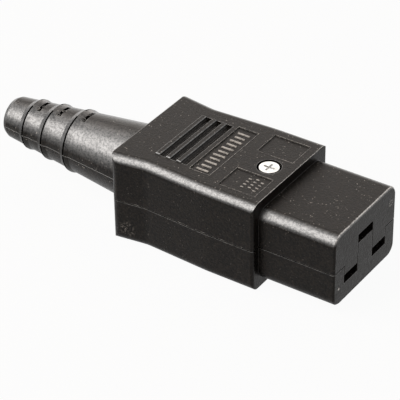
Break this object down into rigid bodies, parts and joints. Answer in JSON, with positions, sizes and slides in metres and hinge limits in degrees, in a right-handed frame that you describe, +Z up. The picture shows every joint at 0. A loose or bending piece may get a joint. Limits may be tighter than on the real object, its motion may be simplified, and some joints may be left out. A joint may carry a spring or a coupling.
{
  "type": "c19 power connector",
  "caption": "Rewirable C19 cable connector: two-part black housing with three blade slots in a stepped parting line, a screwed body with finger grooves and a tapered flexible bend relief.",
  "frame": {"origin": "middle of the resting underside, half way along the whole length", "axes": "+X along the connector towards the mating face, +Y across it, +Z up from the resting face"},
  "size_m": [0.1062, 0.0334, 0.0253],
  "materials": {
    "housing": "fine spark-eroded grain",
    "sleeve": "satin elastomer",
    "contact": "stamped sheet",
    "spring": "spring steel",
    "plated_steel": "bright zinc plate"
  },
  "bodies": {
    "root": {"upper_shell": "housing", "lower_shell": "housing", "bend_relief_sleeve": "sleeve", "line_contact": "contact", "neutral_contact": "contact", "earth_contact": "contact", "line_backing_spring": "spring", "neutral_backing_spring": "spring", "earth_backing_spring": "spring", "line_clamp_plate": "plated_steel", "neutral_clamp_plate": "plated_steel", "earth_clamp_plate": "plated_steel", "line_terminal_screw": "plated_steel", "neutral_terminal_screw": "plated_steel", "earth_terminal_screw": "plated_steel", "cord_clamp_bar": "housing", "cord_clamp_screw_near": "plated_steel", "cord_clamp_screw_far": "plated_steel", "housing_screw": "plated_steel", "housing_nut": "plated_steel"}
  },
  "joints": []
}
